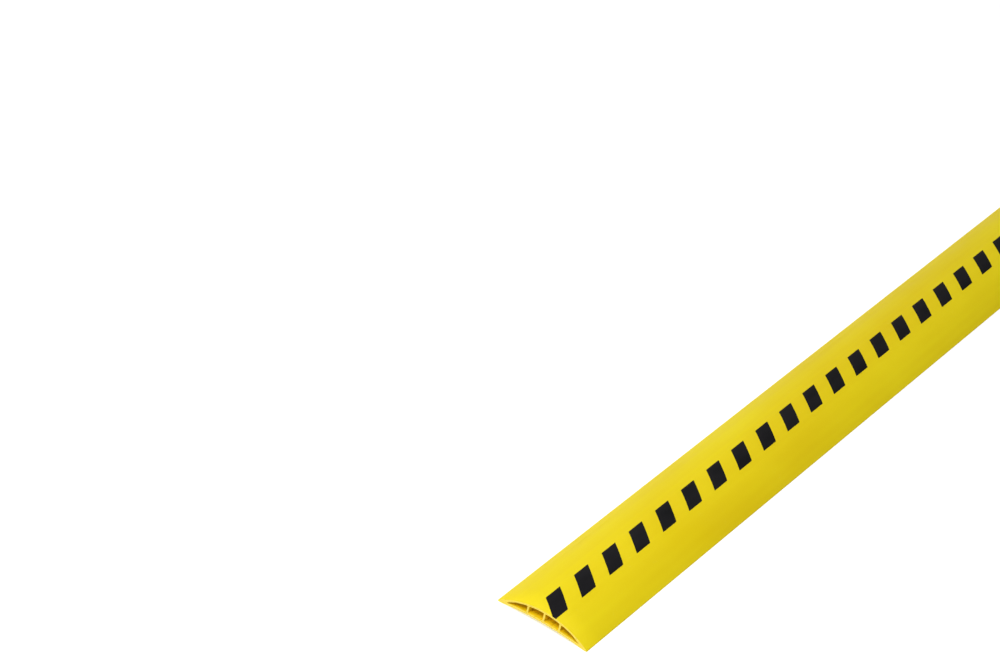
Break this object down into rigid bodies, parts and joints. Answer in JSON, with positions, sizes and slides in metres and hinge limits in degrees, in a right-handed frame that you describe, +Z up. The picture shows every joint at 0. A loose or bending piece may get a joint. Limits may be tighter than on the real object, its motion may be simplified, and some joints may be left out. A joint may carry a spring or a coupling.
{
  "type": "cable protector ramp",
  "caption": "Low arched floor ramp in flexible PVC that covers cables, with slit cable channels underneath and black hazard marks along its crown.",
  "frame": {"origin": "on the floor under the middle of the ramp, at the centre of its rest area", "axes": "+X along the ramp, +Y across it to the left toe, +Z up from the floor"},
  "size_m": [1, 0.083, 0.0141],
  "materials": {
    "yellow_pvc": "satin, extruded",
    "black_foil": "satin stamped foil"
  },
  "bodies": {
    "ramp": {"crown": "yellow_pvc", "centre_web": "yellow_pvc", "left_toe": "yellow_pvc", "left_base_strip": "yellow_pvc", "left_web": "yellow_pvc", "right_toe": "yellow_pvc", "right_base_strip": "yellow_pvc", "right_web": "yellow_pvc", "hazard_mark_01": "black_foil", "hazard_mark_02": "black_foil", "hazard_mark_03": "black_foil", "hazard_mark_04": "black_foil", "hazard_mark_05": "black_foil", "hazard_mark_06": "black_foil", "hazard_mark_07": "black_foil", "hazard_mark_08": "black_foil", "hazard_mark_09": "black_foil", "hazard_mark_10": "black_foil", "hazard_mark_11": "black_foil", "hazard_mark_12": "black_foil", "hazard_mark_13": "black_foil", "hazard_mark_14": "black_foil", "hazard_mark_15": "black_foil", "hazard_mark_16": "black_foil", "hazard_mark_17": "black_foil", "hazard_mark_18": "black_foil", "hazard_mark_19": "black_foil", "hazard_mark_20": "black_foil", "hazard_mark_21": "black_foil", "hazard_mark_22": "black_foil", "hazard_mark_23": "black_foil", "hazard_mark_24": "black_foil", "hazard_mark_25": "black_foil", "hazard_mark_26": "black_foil"},
    "left_inner_flap": {"left_inner_flap": "yellow_pvc"},
    "left_outer_flap": {"left_outer_flap": "yellow_pvc"},
    "right_inner_flap": {"right_inner_flap": "yellow_pvc"},
    "right_outer_flap": {"right_outer_flap": "yellow_pvc"}
  },
  "joints": [
    {"name": "left_inner_flap_hinge", "type": "hinge", "parent": "ramp", "child": "left_inner_flap", "pos_m": [0, 0.0019, 0.00409], "axis": [1, 0, 0], "range_deg": [-60, 60], "stiffness_Nm_per_rad": 0.5},
    {"name": "left_outer_flap_hinge", "type": "hinge", "parent": "ramp", "child": "left_outer_flap", "pos_m": [0, 0.0129, 0.00376], "axis": [-1, 0, 0], "range_deg": [-60, 60], "stiffness_Nm_per_rad": 0.5},
    {"name": "right_inner_flap_hinge", "type": "hinge", "parent": "ramp", "child": "right_inner_flap", "pos_m": [0, -0.0019, 0.00409], "axis": [-1, 0, 0], "range_deg": [-60, 60], "stiffness_Nm_per_rad": 0.5},
    {"name": "right_outer_flap_hinge", "type": "hinge", "parent": "ramp", "child": "right_outer_flap", "pos_m": [0, -0.0129, 0.00376], "axis": [1, 0, 0], "range_deg": [-60, 60], "stiffness_Nm_per_rad": 0.5}
  ]
}
